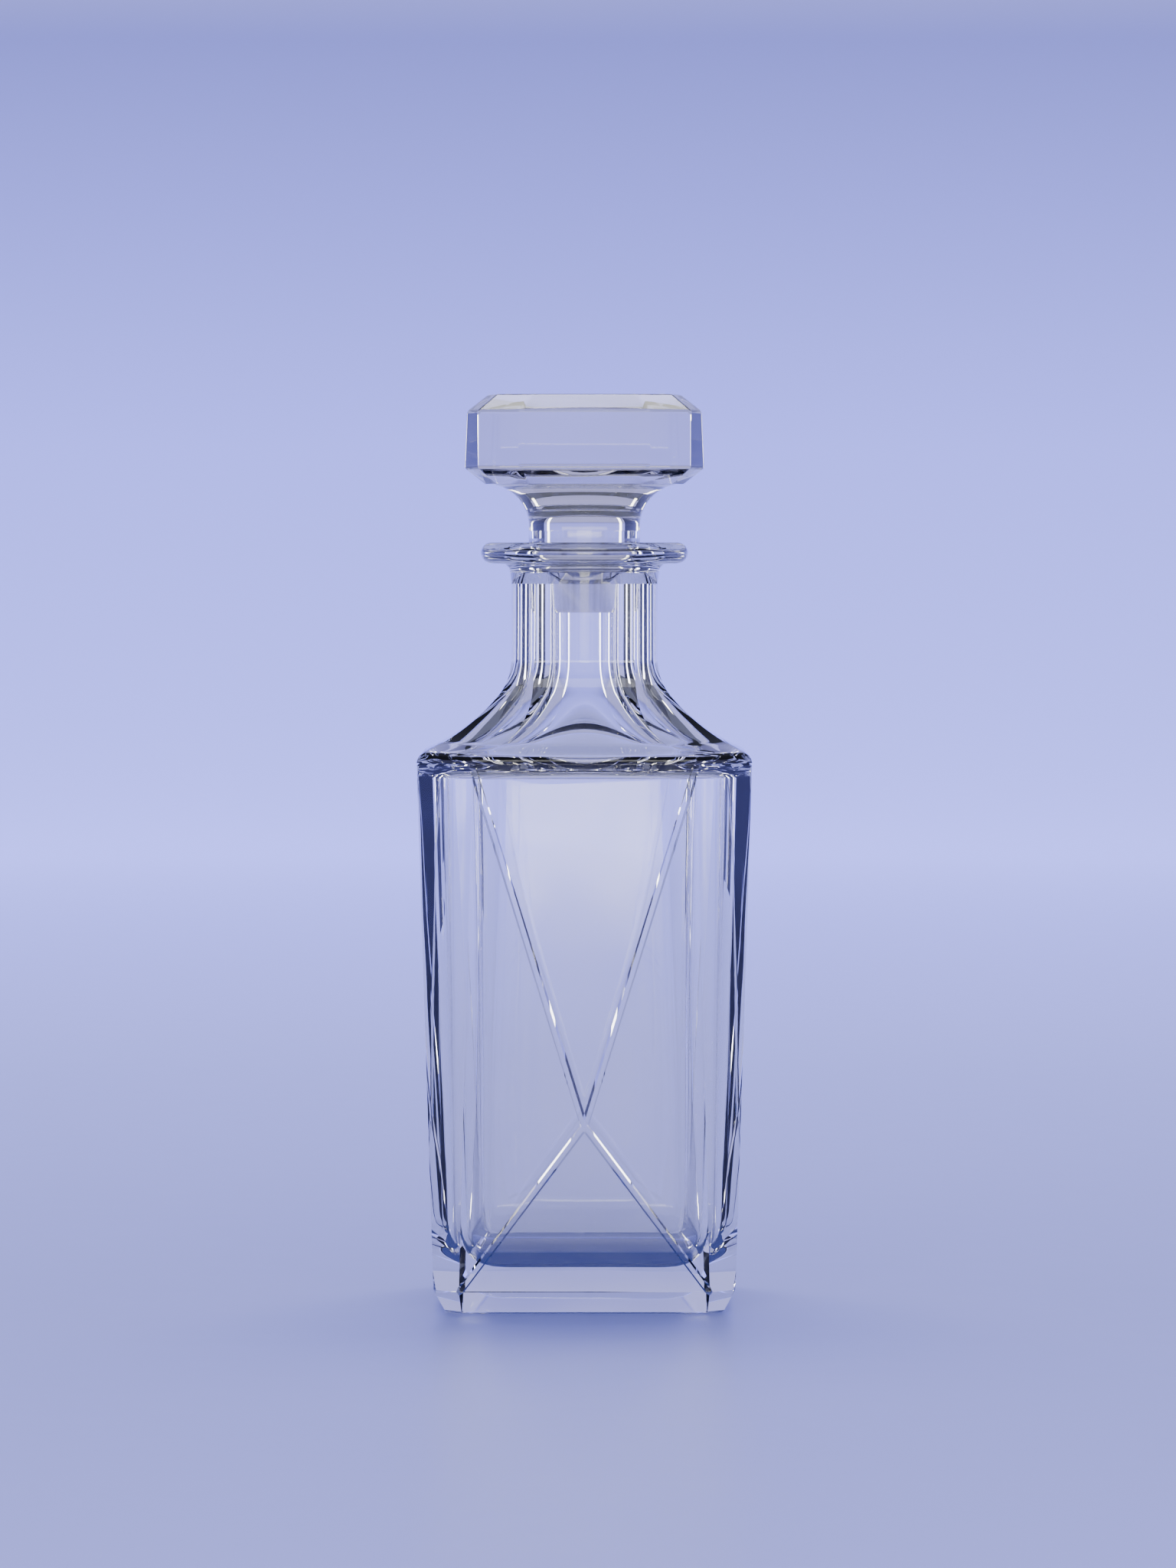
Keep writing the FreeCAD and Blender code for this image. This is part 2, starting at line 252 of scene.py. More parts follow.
def soft_square(half, corner):
    """Moves a point of a ring to a square with rounded corners, corner being half its diagonal."""
    power = 1.0 / max(0.5 + math.log2(half / corner), 0.06)

    def moved(x, y):
        longest = max(abs(x), abs(y))
        reach = longest * ((abs(x) / longest) ** power + (abs(y) / longest) ** power) ** (1.0 / power)
        return x * half / reach, y * half / reach

    return moved


def on_arc(height, low, high, radius, hollow):
    """Half width at a height, on an arc of the radius between two (half width, height) points."""
    across = high[0] - low[0]
    up = high[1] - low[1]
    chord = math.hypot(across, up)
    rise = math.sqrt(radius ** 2 - chord ** 2 / 4.0)
    side = 1.0 if hollow else -1.0
    centre_across = (low[0] + high[0]) / 2.0 + side * rise * up / chord
    centre_height = (low[1] + high[1]) / 2.0 - side * rise * across / chord
    return centre_across - side * math.sqrt(max(radius ** 2 - (height - centre_height) ** 2, 0.0))


def on_flare(height, low, high, small):
    """Half width on a hollow flare of two tangent arcs that ends upright at its high point."""
    middle = (high[0] + small * (1.0 - math.cos(FLARE_TURN)), high[1] - small * math.sin(FLARE_TURN))
    if height >= middle[1]:
        return high[0] + small - math.sqrt(max(small ** 2 - (high[1] - height) ** 2, 0.0))
    chord = math.hypot(low[0] - middle[0], middle[1] - low[1])
    bend = math.radians(90.0) - FLARE_TURN - math.atan2(middle[1] - low[1], low[0] - middle[0])
    return on_arc(height, low, middle, chord / (2.0 * math.sin(bend)), True)


def steps(start, end, count):
    """The values from just after start to end, in equal steps."""
    return [start + (end - start) * index / count for index in range(1, count + 1)]


# ---------------------------------------------------------------- mesh helpers


def first_ring(bm, corners):
    """A closed ring of edges through a few corners, each (x, y, z) in millimetres."""
    verts = [bm.verts.new(Vector(corner) * MM) for corner in corners]
    return [bm.edges.new((vert, verts[(index + 1) % len(verts)])) for index, vert in enumerate(verts)]


def next_ring(bm, ring, outline, height):
    """Extrudes a ring of edges and moves the new ring to an outline at a height in millimetres."""
    made = bmesh.ops.extrude_edge_only(bm, edges=ring)["geom"]
    verts = [item for item in made if isinstance(item, bmesh.types.BMVert)]
    fresh = set(verts)
    for vert in verts:
        x, y = outline(vert.co.x / MM, vert.co.y / MM)
        vert.co = Vector((x, y, height)) * MM
    return [item for item in made if isinstance(item, bmesh.types.BMEdge) and set(item.verts) <= fresh]


def cut_ring(bm, ring, cuts):
    """Divides each edge of a level ring, the only one at its height, and returns the finer ring."""
    height = ring[0].verts[0].co.z
    bmesh.ops.subdivide_edges(bm, edges=ring, cuts=cuts)
    level = {vert for vert in bm.verts if abs(vert.co.z - height) < LEVEL_GAP * MM}
    return [edge for edge in bm.edges if set(edge.verts) <= level]


def rounded(bm, edges, width, segments):
    """Rounds edges by a width in millimetres."""
    bmesh.ops.bevel(bm, geom=list(edges), offset=width * MM, offset_type="OFFSET", affect="EDGES",
                    segments=segments, profile=0.5, material=-1)


def finish(bm, name, body, node, material, sharp_angle):
    """Turns a bmesh into a finished piece that stands for a CAD node."""
    bmesh.ops.remove_doubles(bm, verts=bm.verts, dist=MERGE_GAP * MM)
    bmesh.ops.recalc_face_normals(bm, faces=bm.faces)
    for face in bm.faces:
        face.smooth = True
    for edge in bm.edges:
        edge.smooth = len(edge.link_faces) != 2 or edge.calc_face_angle(0.0) < sharp_angle
    mesh = bpy.data.meshes.new(name)
    bm.to_mesh(mesh)
    bm.free()
    mesh.materials.append(material)
    piece = bpy.data.objects.new(name, mesh)
    bpy.context.scene.collection.objects.link(piece)
    flatten = piece.modifiers.new("Even flats", "WEIGHTED_NORMAL")
    flatten.keep_sharp = True
    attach(piece, body)
    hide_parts(node)
    return piece


# ---------------------------------------------------------------- settings


class BottleSettings(bpy.types.PropertyGroup):
    """Sizes of the bottle, in millimetres: half widths across the flats and across the corners."""

    foot: bpy.props.FloatVectorProperty(
        name="Foot",
        description="Half widths of the underside across flats and across corners, in millimetres",
        size=2, default=(38.6, 51.4))
    base: bpy.props.FloatVectorProperty(
        name="Base", description="Half widths at the top of the plinth, in millimetres",
        size=2, default=(42.0, 54.3))
    plinth: bpy.props.FloatProperty(
        name="Plinth height", description="Height at which the plinth's slope ends, in millimetres",
        default=6.3)
    top: bpy.props.FloatVectorProperty(
        name="Body top",
        description="Half widths at the top of the body, its widest place, in millimetres",
        size=2, default=(46.6, 54.8))
    body_top: bpy.props.FloatProperty(
        name="Height of the body",
        description="Height at which the sides end and the shoulder begins, in millimetres",
        default=152.0)
    rim_radius: bpy.props.FloatProperty(
        name="Rounding of the shoulder rim",
        description="Radius of the rounded rim between a side and the shoulder, in millimetres",
        default=3.2)
    shoulder: bpy.props.FloatVectorProperty(
        name="Shoulder", description="Half widths at the inner end of the rounded rim, in millimetres",
        size=2, default=(44.4, 52.8))
    shoulder_height: bpy.props.FloatProperty(
        name="Shoulder height", description="Height of the inner end of the rounded rim, in millimetres",
        default=155.6)
    neck: bpy.props.FloatVectorProperty(
        name="Neck", description="Half widths of the eight-sided neck, in millimetres",
        size=2, default=(20.5, 24.4))
    neck_start: bpy.props.FloatProperty(
        name="Start of the neck",
        description="Height at which the flare turns into the upright neck, in millimetres",
        default=181.2)
    flare_small: bpy.props.FloatVectorProperty(
        name="Small arc of the flare",
        description="Radii of the tighter arc of the flare at the flats and corners, in millimetres",
        size=2, default=(16.0, 18.5))
    facet_top: bpy.props.FloatProperty(
        name="End of the neck's flats",
        description="Height at which the neck's flats turn round, in millimetres", default=202.4)
    collar_start: bpy.props.FloatProperty(
        name="Start of the collar", description="Height at which the round collar begins, in millimetres",
        default=205.5)
    collar: bpy.props.FloatProperty(
        name="Collar radius", description="Radius of the round collar under the lip, in millimetres",
        default=21.1)
    under_lip: bpy.props.FloatProperty(
        name="Fillet under the lip",
        description="Radius of the fillet between the collar and the lip, in millimetres", default=2.4)
    lip: bpy.props.FloatProperty(
        name="Lip radius", description="Outer radius of the lip, in millimetres", default=29.2)
    lip_bottom: bpy.props.FloatProperty(
        name="Underside of the lip", description="Height of the lip's underside, in millimetres",
        default=208.0)
    lip_top: bpy.props.FloatProperty(
        name="Top of the lip",
        description="Height of the lip's top, where the seal rests, in millimetres", default=214.0)
    cross_height: bpy.props.FloatProperty(
        name="Height of the cross",
        description="Height of the point where the four triangles of a side meet, in millimetres",
        default=52.4)
    cross_depth: bpy.props.FloatProperty(
        name="Depth of the cross",
        description="How far that point is sunk below the side, in millimetres", default=1.1)
    crease: bpy.props.FloatProperty(
        name="Half width of the creases",
        description="Half width of the groove along each arm of the cross, in millimetres", default=1.1)
    groove: bpy.props.FloatProperty(
        name="Depth of the creases",
        description="Depth of the grooves on the front and at both sides, in millimetres", default=0.85)
    back_groove: bpy.props.FloatProperty(
        name="Depth of the creases at the back",
        description="Depth of the grooves at the back, in millimetres", default=0.15)
    edge: bpy.props.FloatProperty(
        name="Rounding of the edges", description="Radius of the body's softened edges, in millimetres",
        default=0.9)
    bore: bpy.props.FloatProperty(
        name="Bore radius", description="Radius of the straight bore in the neck, in millimetres",
        default=14.75)
    bore_start: bpy.props.FloatProperty(
        name="Lower end of the bore",
        description="Height at which the hollow's flare turns into the bore, in millimetres",
        default=181.0)
    mouth_chamfer: bpy.props.FloatProperty(
        name="Mouth chamfer", description="Size of the chamfer at the mouth, in millimetres", default=0.6)
    inner_flare: bpy.props.FloatProperty(
        name="Small arc of the inner flare",
        description="Radius of the tighter arc of the hollow's flare, in millimetres", default=17.0)
    ceiling: bpy.props.FloatVectorProperty(
        name="Ceiling of the hollow",
        description="Half widths of the hollow where its flare begins, in millimetres",
        size=2, default=(38.4, 47.2))
    ceiling_height: bpy.props.FloatProperty(
        name="Height of the ceiling",
        description="Height at which the hollow's flare begins, in millimetres", default=151.6)
    cavity_top: bpy.props.FloatVectorProperty(
        name="Top of the hollow",
        description="Half widths at the top of the hollow's walls, in millimetres",
        size=2, default=(41.6, 50.8))
    cavity_top_height: bpy.props.FloatProperty(
        name="Height of the hollow's walls",
        description="Height of the top of the hollow's walls, in millimetres", default=148.6)
    cavity_base: bpy.props.FloatVectorProperty(
        name="Base of the hollow",
        description="Half widths at the foot of the hollow's walls, in millimetres",
        size=2, default=(35.6, 46.8))
    floor_height: bpy.props.FloatProperty(
        name="Height of the floor", description="Thickness of the glass under the hollow, in millimetres",
        default=12.0)
    floor_round: bpy.props.FloatProperty(
        name="Rounding of the floor",
        description="Radius between the hollow's walls and its floor, in millimetres", default=12.0)


class StopperSettings(bpy.types.PropertyGroup):
    """Sizes of the stopper and its seal, in millimetres."""

    half: bpy.props.FloatProperty(
        name="Half width of the head",
        description="Half width of the head across its flats, in millimetres", default=33.5)
    flat: bpy.props.FloatProperty(
        name="Half width of the middle facet",
        description="Half width of the facet in the middle of each side, in millimetres", default=17.7)
    diagonal: bpy.props.FloatProperty(
        name="Corner of the head",
        description="Distance of the head's corners from the centre lines, in millimetres", default=29.6)
    draft: bpy.props.FloatProperty(
        name="Draft of the head",
        description="How far the head narrows from its lower to its upper edge, in millimetres",
        default=0.7)
    under: bpy.props.FloatProperty(
        name="Underside of the head", description="Height of the head's underside, in millimetres",
        default=230.3)
    under_scale: bpy.props.FloatProperty(
        name="Scale of the underside", description="Size of the underside as a share of the head",
        subtype="FACTOR", min=0.0, max=1.0, default=0.83)
    low: bpy.props.FloatProperty(
        name="Lower edge of the head",
        description="Height of the lower edge of the upright facets, in millimetres", default=234.7)
    high: bpy.props.FloatProperty(
        name="Upper edge of the head",
        description="Height of the upper edge of the upright facets, in millimetres", default=250.6)
    top: bpy.props.FloatProperty(
        name="Top of the head", description="Height of the flat top, in millimetres", default=255.3)
    crown_scale: bpy.props.FloatProperty(
        name="Scale of the crown", description="Size of the flat top as a share of the head",
        subtype="FACTOR", min=0.0, max=1.0, default=0.82)
    waist: bpy.props.FloatProperty(
        name="Waist radius", description="Radius of the round waist, in millimetres", default=15.7)
    waist_flare: bpy.props.FloatProperty(
        name="Flare of the waist",
        description="Radius of the arc that leads from the waist to the head, in millimetres",
        default=12.0)
    waist_spread: bpy.props.FloatProperty(
        name="Spread of the waist",
        description="How far that arc reaches out from the waist, in millimetres", default=10.8)
    waist_height: bpy.props.FloatProperty(
        name="Top of the waist", description="Height at which that arc begins, in millimetres",
        default=219.4)
    peg_end: bpy.props.FloatProperty(
        name="End of the peg", description="Height of the peg's lower end, in millimetres", default=194.3)
    running_gap: bpy.props.FloatProperty(
        name="Gap in the seal", description="Gap between the peg and the seal, in millimetres",
        default=0.05)
    seat_gap: bpy.props.FloatProperty(
        name="Gap over the flange",
        description="Gap that keeps the waist clear of the seal's flange, in millimetres", default=0.02)
    sleeve_top: bpy.props.FloatProperty(
        name="Sleeve radius at the top",
        description="Outer radius of the seal's sleeve at the lip, in millimetres", default=14.5)
    sleeve_low: bpy.props.FloatProperty(
        name="Sleeve radius at the end",
        description="Outer radius of the seal's sleeve at its lower end, in millimetres", default=13.4)
    sleeve_wall: bpy.props.FloatProperty(
        name="Sleeve wall", description="Thickness of the sleeve, in millimetres", default=0.9)
    sleeve_end: bpy.props.FloatProperty(
        name="End of the sleeve", description="Height of the sleeve's lower end, in millimetres",
        default=195.2)
    flange_height: bpy.props.FloatProperty(
        name="Flange height", description="Thickness of the seal's flange on the lip, in millimetres",
        default=3.2)
    flange_reach: bpy.props.FloatProperty(
        name="Flange reach",
        description="How far the flange reaches past the bore, in millimetres", default=0.95)
    ribs: bpy.props.FloatVectorProperty(
        name="Ribs", description="Heights of the two ribs' lower edges, in millimetres",
        size=2, default=(202.8, 206.2))
    rib_radius: bpy.props.FloatProperty(
        name="Rib radius", description="Outer radius of the two sealing ribs, in millimetres",
        default=14.7)
    rib_height: bpy.props.FloatProperty(
        name="Rib height", description="Height of one sealing rib, in millimetres", default=0.8)
    edge: bpy.props.FloatProperty(
        name="Rounding of the edges", description="Radius of the head's softened edges, in millimetres",
        default=0.8)


class GlassSettings(bpy.types.PropertyGroup):
    """Looks of the clear materials."""

    tint: bpy.props.FloatVectorProperty(
        name="Glass tint", description="Colour that the bottle's glass lets through",
        size=3, subtype="COLOR", default=(0.92, 0.912, 0.85))
    stopper_tint: bpy.props.FloatVectorProperty(
        name="Stopper tint", description="Colour that the stopper's glass lets through",
        size=3, subtype="COLOR", default=(0.74, 0.70, 0.50))
    seal_tint: bpy.props.FloatVectorProperty(
        name="Seal tint", description="Colour that the seal's plastic lets through",
        size=3, subtype="COLOR", default=(0.97, 0.98, 1.0))
    ior: bpy.props.FloatProperty(
        name="Refraction of glass", description="Refractive index of the glass", min=1.0, default=1.52)
    plastic_ior: bpy.props.FloatProperty(
        name="Refraction of the seal", description="Refractive index of the seal's plastic",
        min=1.0, default=1.49)


class StageSettings(bpy.types.PropertyGroup):
    """The floor, the lights and the camera, in metres."""

    sweep_radius: bpy.props.FloatProperty(
        name="Radius of the sweep", description="Distance from the decanter to the wall",
        unit="LENGTH", subtype="DISTANCE", default=4.2)
    sweep_height: bpy.props.FloatProperty(
        name="Height of the sweep", description="Height of the wall",
        unit="LENGTH", subtype="DISTANCE", default=2.4)
    paint: bpy.props.FloatVectorProperty(
        name="Paint", description="Colour of the floor and the wall",
        size=3, subtype="COLOR", default=(0.30, 0.315, 0.72))
    # The glow colours below are painted light that the backdrop emits, faint at the decanter's foot and
    # brightest where the floor curves up.
    floor_glow: bpy.props.FloatVectorProperty(
        name="Glow under the decanter",
        description="Light that the floor gives off at the decanter's foot",
        size=3, subtype="COLOR", default=(0.004, 0.006, 0.02))
    middle_glow: bpy.props.FloatVectorProperty(
        name="Glow of the near floor", description="Light that the floor gives off near the decanter",
        size=3, subtype="COLOR", default=(0.025, 0.028, 0.09))
    far_glow: bpy.props.FloatVectorProperty(
        name="Glow of the far floor", description="Light that the floor gives off where it curves up",
        size=3, subtype="COLOR", default=(0.105, 0.112, 0.40))
    wall_glow: bpy.props.FloatVectorProperty(
        name="Glow of the wall", description="Light that the wall gives off behind the decanter",
        size=3, subtype="COLOR", default=(0.09, 0.096, 0.35))
    top_glow: bpy.props.FloatVectorProperty(
        name="Glow above the decanter", description="Light that the wall gives off above the decanter",
        size=3, subtype="COLOR", default=(0.04, 0.042, 0.10))
    rim_glow: bpy.props.FloatVectorProperty(
        name="Glow of the wall top", description="Light that the wall gives off at its upper edge",
        size=3, subtype="COLOR", default=(0.10, 0.10, 0.14))
    glow_strength: bpy.props.FloatProperty(
        name="Strength of the glow", description="Factor on all the glow colours", min=0.0, default=5.0)
    flag_angles: bpy.props.FloatVectorProperty(
        name="Directions of the dark cards",
        description="Directions of the dark cards, from straight behind the decanter",
        size=8, unit="ROTATION",
        default=[math.radians(angle) for angle in (-41, 41, -53, 53, -75, 75, 140, -140)])
    flag_width: bpy.props.FloatProperty(
        name="Angle that a dark card covers",
        description="Angle that one dark card covers, seen from the decanter",
        subtype="ANGLE", default=math.radians(12.0))
    flag_distance: bpy.props.FloatProperty(
        name="Distance of the dark cards", description="Distance from the decanter to the dark cards",
        unit="LENGTH", subtype="DISTANCE", default=1.2)
    flag_height: bpy.props.FloatProperty(
        name="Height of the dark cards", description="Height of the dark cards",
        unit="LENGTH", subtype="DISTANCE", default=1.6)
    card_distance: bpy.props.FloatProperty(
        name="Distance of the front card",
        description="Distance from the decanter to the lit card in front",
        unit="LENGTH", subtype="DISTANCE", default=3.0)
    card_width: bpy.props.FloatProperty(
        name="Width of the front card", description="Width of the lit card in front",
        unit="LENGTH", subtype="DISTANCE", default=1.6)
    card_height: bpy.props.FloatProperty(
        name="Height of the front card", description="Height of the lit card in front",
        unit="LENGTH", subtype="DISTANCE", default=0.8)
    card_strength: bpy.props.FloatProperty(
        name="Strength of the front card", description="Brightness of the lit card in front",
        min=0.0, default=9.0)
    camera_distance: bpy.props.FloatProperty(
        name="Camera distance", description="Distance from the decanter's axis to the camera",
        unit="LENGTH", subtype="DISTANCE", default=2.0)
    camera_side: bpy.props.FloatProperty(
        name="Camera shift", description="Distance of the camera to the right of the decanter's axis",
        unit="LENGTH", subtype="DISTANCE", default=0.001)
    camera_height: bpy.props.FloatProperty(
        name="Camera height", description="Height of the camera over the table",
        unit="LENGTH", subtype="DISTANCE", default=0.2158)
    frame_height: bpy.props.FloatProperty(
        name="Height of the frame at the decanter",
        description="Height that the picture covers at the decanter",
        unit="LENGTH", subtype="DISTANCE", default=0.4424)
    look_down: bpy.props.FloatProperty(
        name="Drop of the view at the decanter",
        description="How far the middle of the picture lies below the camera",
        unit="LENGTH", subtype="DISTANCE", default=0.070)


# ---------------------------------------------------------------- pieces


def bottle_shell(bm, sizes):
    """The outside, from the centre of the underside to the collar: eight-sided rings."""
    start = chamfered_square(*sizes.foot)
    angles = [math.radians(quarter * 90.0 + side) for quarter in range(4)
              for side in (-OCTAGON_HALF, OCTAGON_HALF)]
    octagon = [start(math.cos(angle), math.sin(angle)) for angle in angles]
    ring = first_ring(bm, [(x, y, 0.0) for x, y in octagon])
    bmesh.ops.contextual_create(bm, geom=ring)
    ring = next_ring(bm, ring, chamfered_square(*sizes.base), sizes.plinth)
    plinth_ring = list(ring)
    ring = next_ring(bm, ring, chamfered_square(*sizes.top), sizes.body_top)
    body_ring = list(ring)
    sides = {face for edge in body_ring for face in edge.link_faces
             if face in {other for low in plinth_ring for other in low.link_faces}}
    for height in steps(sizes.body_top, sizes.shoulder_height, 5):
        pair = [on_arc(height, (sizes.top[k], sizes.body_top), (sizes.shoulder[k], sizes.shoulder_height),
                       sizes.rim_radius, False) for k in range(2)]
        ring = next_ring(bm, ring, chamfered_square(*pair), height)
    for height in steps(sizes.shoulder_height, sizes.neck_start, 26):
        pair = [on_flare(height, (sizes.shoulder[k], sizes.shoulder_height),
                         (sizes.neck[k], sizes.neck_start), sizes.flare_small[k]) for k in range(2)]
        ring = next_ring(bm, ring, chamfered_square(*pair), height)
    ring = next_ring(bm, ring, chamfered_square(*sizes.neck), sizes.facet_top)
    return ring, sides


def press_cross(bm, sides, sizes):
    """Sinks the middle of each wide side, which leaves four triangles that meet in a cross."""
    wide = [face for face in sides if max(abs(face.normal.x), abs(face.normal.y)) > 0.99]
    middles = bmesh.ops.poke(bm, faces=wide)["verts"]
    share = (sizes.cross_height - sizes.plinth) / (sizes.body_top - sizes.plinth)
    reach = sizes.base[0] + (sizes.top[0] - sizes.base[0]) * share - sizes.cross_depth
    for vert in middles:
        x, y = (reach, 0.0) if abs(vert.co.x) > abs(vert.co.y) else (0.0, reach)
        x = math.copysign(x, vert.co.x)
        y = math.copysign(y, vert.co.y)
        vert.co = Vector((x, y, sizes.cross_height)) * MM
    return {edge for vert in middles for edge in vert.link_edges}


def press_creases(bm, creases, sizes):
    """Presses a shallow flat-bottomed groove along each arm of the crosses."""
    lines = [tuple(vert.co.copy() for vert in edge.verts) for edge in creases]
    made = bmesh.ops.bevel(bm, geom=list(creases), offset=sizes.crease * MM, offset_type="OFFSET",
                           affect="EDGES", segments=4, profile=0.5, material=-1)
    bm.normal_update()
    reach = sizes.crease * GROOVE_SHARE * MM
    inner = [vert for vert in made["verts"]
             if min(distance_to_line(vert.co, *line) for line in lines) < reach]
    for vert in inner:
        across = Vector((vert.normal.x, vert.normal.y, 0.0)).normalized()
        depth = sizes.back_groove if across.y > BACK_FACING else sizes.groove
        vert.co -= across * depth * MM


def soften_edges(bm, corners, sizes):
    """Rounds the upright edges of the body and the edges of the plinth."""
    rounded(bm, {edge for edge in corners if edge.is_valid}, sizes.edge, 3)


def distance_to_line(point, start, end):
    """How far a point is from the line through two others."""
    return (point - start).cross(end - start).length / (end - start).length


def bottle_lip(bm, ring, sizes):
    """Collar, rounded lip and mouth, all round."""
    fine = cut_ring(bm, ring, 11)
    thick = (sizes.lip_top - sizes.lip_bottom) / 2.0
    middle = sizes.lip_bottom + thick
    ring = next_ring(bm, fine, circle(sizes.collar), sizes.collar_start)
    ring = next_ring(bm, ring, circle(sizes.collar), sizes.lip_bottom - sizes.under_lip)
    for angle in steps(0.0, 90.0, 6):
        turn = math.radians(angle)
        radius = sizes.collar + sizes.under_lip * (1.0 - math.cos(turn))
        height = sizes.lip_bottom - sizes.under_lip * (1.0 - math.sin(turn))
        ring = next_ring(bm, ring, circle(radius), height)
    for angle in steps(-100.0, 90.0, 19):
        turn = math.radians(angle)
        radius = sizes.lip - thick + thick * math.cos(turn)
        ring = next_ring(bm, ring, circle(radius), middle + thick * math.sin(turn))
    ring = next_ring(bm, ring, circle(sizes.bore + sizes.mouth_chamfer), sizes.lip_top)
    return next_ring(bm, ring, circle(sizes.bore), sizes.lip_top - sizes.mouth_chamfer)


def bottle_hollow(bm, ring, sizes):
    """Bore, inner flare, walls and rounded floor of the hollow."""
    ring = next_ring(bm, ring, circle(sizes.bore), sizes.bore_start)
    for height in steps(sizes.bore_start, sizes.ceiling_height, 26):
        pair = [on_flare(height, (sizes.ceiling[k], sizes.ceiling_height),
                         (sizes.bore, sizes.bore_start), sizes.inner_flare) for k in range(2)]
        ring = next_ring(bm, ring, soft_square(*pair), height)
    start = math.sin(CEILING_START)
    rise = (sizes.ceiling_height - sizes.cavity_top_height) / math.cos(CEILING_START)
    for turn in steps(CEILING_START, math.radians(90.0), 6):
        share = (math.sin(turn) - start) / (1.0 - start)
        height = sizes.cavity_top_height + rise * math.cos(turn)
        pair = [sizes.ceiling[k] + (sizes.cavity_top[k] - sizes.ceiling[k]) * share for k in range(2)]
        ring = next_ring(bm, ring, soft_square(*pair), height)
    wall_foot = sizes.floor_height + sizes.floor_round
    for height in steps(sizes.cavity_top_height, wall_foot, 6):
        share = (sizes.cavity_top_height - height) / (sizes.cavity_top_height - wall_foot)
        pair = [sizes.cavity_top[k] + (sizes.cavity_base[k] - sizes.cavity_top[k]) * share
                for k in range(2)]
        ring = next_ring(bm, ring, soft_square(*pair), height)
    for angle in steps(0.0, 90.0, 12):
        turn = math.radians(angle)
        inset = sizes.floor_round * (1.0 - math.cos(turn))
        pair = [sizes.cavity_base[k] - inset for k in range(2)]
        height = wall_foot - sizes.floor_round * math.sin(turn)
        ring = next_ring(bm, ring, soft_square(*pair), height)
    for scale in (0.75, 0.5, 0.25):
        pair = [(sizes.cavity_base[k] - sizes.floor_round) * scale for k in range(2)]
        ring = next_ring(bm, ring, soft_square(*pair), sizes.floor_height)
    bmesh.ops.contextual_create(bm, geom=ring)


class DECANTER_OT_bottle(bpy.types.Operator):
    """Build the pressed-glass bottle"""

    bl_idname = "decanter.bottle"
    bl_label = "Bottle"

    def execute(self, context):
        sizes = context.scene.decanter_bottle
        glass = context.scene.decanter_glass
        bm = bmesh.new()
        ring, sides = bottle_shell(bm, sizes)
        bm.normal_update()
        limit = (sizes.body_top + 1.0) * MM
        corners = {edge for edge in bm.edges if max(vert.co.z for vert in edge.verts) < limit}
        corners -= {edge for edge in corners if min(vert.co.z for vert in edge.verts) > limit - 2.0 * MM}
        creases = press_cross(bm, sides, sizes)
        mouth = bottle_lip(bm, ring, sizes)
        bottle_hollow(bm, mouth, sizes)
        bmesh.ops.recalc_face_normals(bm, faces=bm.faces)
        press_creases(bm, creases, sizes)
        soften_edges(bm, corners, sizes)
        material = clear_body("bottle_glass", tuple(glass.tint), glass.ior,
                              wave_size=0.05, wave_depth=0.0006, film=0.05)
        finish(bm, "bottle_glass", "decanter", "bottle", material, math.radians(20.0))
        return {"FINISHED"}


def head_outline(sizes, scale, grow):
    """Twelve-sided outline of the stopper's head, as corners in order."""
    half = (sizes.half + grow) * scale
    flat = sizes.flat * scale
    diagonal = sizes.diagonal * scale
    quarter = [(half, -flat), (half, flat), (diagonal, diagonal)]
    corners = []
    for turn in range(4):
        spin = Matrix.Rotation(math.radians(90.0 * turn), 2)
        corners += [tuple(spin @ Vector(corner)) for corner in quarter]
    return corners


def head_mover(sizes, scale, grow):
    """Moves the points of a twelve-sided ring to another size of the head's outline."""
    corners = head_outline(sizes, scale, grow)

    def moved(x, y):
        return max(corners, key=lambda corner: (corner[0] * x + corner[1] * y) / math.hypot(*corner))

    return moved


